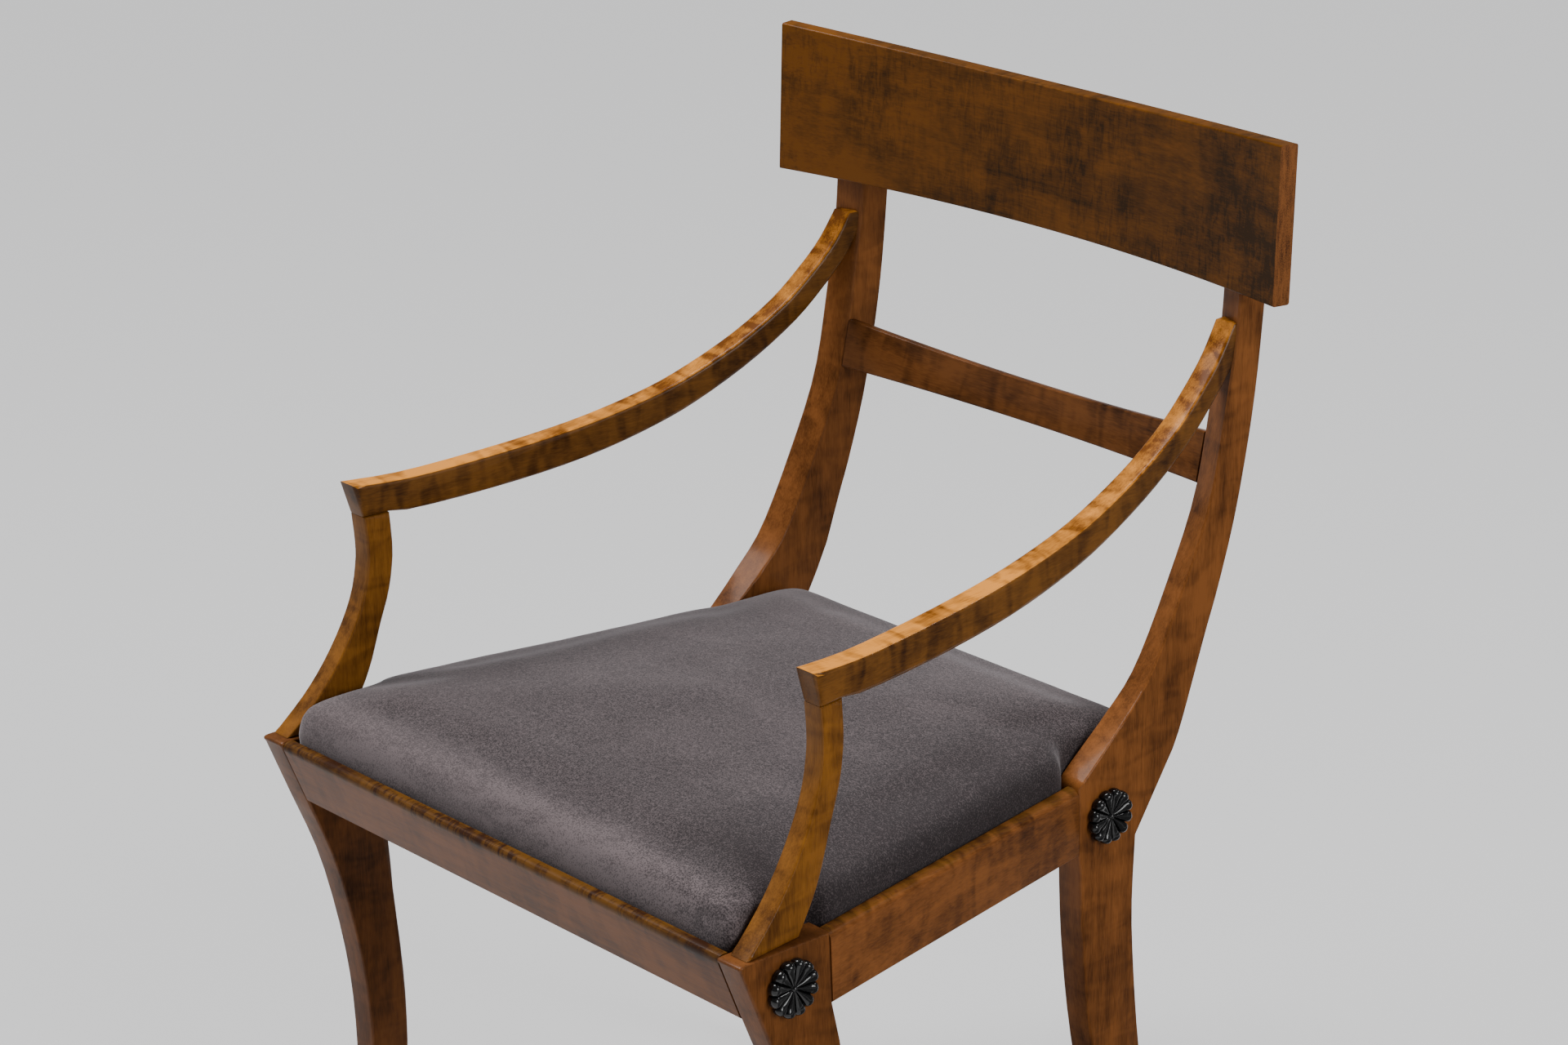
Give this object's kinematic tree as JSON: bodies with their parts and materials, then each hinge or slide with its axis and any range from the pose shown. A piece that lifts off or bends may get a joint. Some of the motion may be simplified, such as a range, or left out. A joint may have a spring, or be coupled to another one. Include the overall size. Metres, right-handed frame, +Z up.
{
  "type": "klismos armchair",
  "caption": "Klismos armchair with sabre legs, swept arms, a curved tablet crest, carved rosettes and a drop-in velvet seat.",
  "frame": {"origin": "on the floor under the middle of the chair's overall width and depth", "axes": "+Z up, -Y towards the front of the chair, +X to the side that the picture sees from outside"},
  "size_m": [0.5686, 0.5822, 0.8945],
  "materials": {
    "frame_wood": "reddish-brown stained birch under satin lacquer",
    "crest_wood": "dark brown stained birch with mottled figure, satin lacquer",
    "arm_wood": "golden-brown stained birch under satin lacquer",
    "inner_wood": "raw sawn wood, unfinished",
    "ebonised": "carved and ebonised, gloss black",
    "screw_steel": "plain slotted wood screws",
    "velvet": "grey-taupe short-pile velvet",
    "stuffing": "layered hair and cotton wadding",
    "webbing": "woven jute webbing",
    "lining": "black cambric dust cover"
  },
  "bodies": {
    "chair": {"front_leg_left": "frame_wood", "rear_leg_left": "frame_wood", "side_rail_left": "frame_wood", "armrest_left": "arm_wood", "arm_support_left": "arm_wood", "arm_dowel_left": "inner_wood", "rosette_front_left": "ebonised", "rosette_rear_left": "ebonised", "crest_screw_left_1": "screw_steel", "crest_screw_left_2": "screw_steel", "corner_block_front_left": "inner_wood", "corner_screw_front_left": "screw_steel", "corner_block_rear_left": "inner_wood", "corner_screw_rear_left": "screw_steel", "front_leg_right": "frame_wood", "rear_leg_right": "frame_wood", "side_rail_right": "frame_wood", "armrest_right": "arm_wood", "arm_support_right": "arm_wood", "arm_dowel_right": "inner_wood", "rosette_front_right": "ebonised", "rosette_rear_right": "ebonised", "crest_screw_right_1": "screw_steel", "crest_screw_right_2": "screw_steel", "corner_block_front_right": "inner_wood", "corner_screw_front_right": "screw_steel", "corner_block_rear_right": "inner_wood", "corner_screw_rear_right": "screw_steel", "front_rail": "frame_wood", "rear_rail": "frame_wood", "crest_rail": "crest_wood", "back_slat": "crest_wood"},
    "seat": {"seat_frame_front": "inner_wood", "seat_frame_rear": "inner_wood", "seat_frame_left": "inner_wood", "seat_frame_right": "inner_wood", "webbing_long_1": "webbing", "webbing_long_2": "webbing", "webbing_long_3": "webbing", "webbing_cross_1": "webbing", "webbing_cross_2": "webbing", "webbing_cross_3": "webbing", "seat_stuffing": "stuffing", "seat_cover": "velvet", "dust_cover": "lining"}
  },
  "joints": [
    {"name": "seat_lift", "type": "slide", "parent": "chair", "child": "seat", "axis": [0, 0, 1], "range_m": [0, 0.03]}
  ]
}
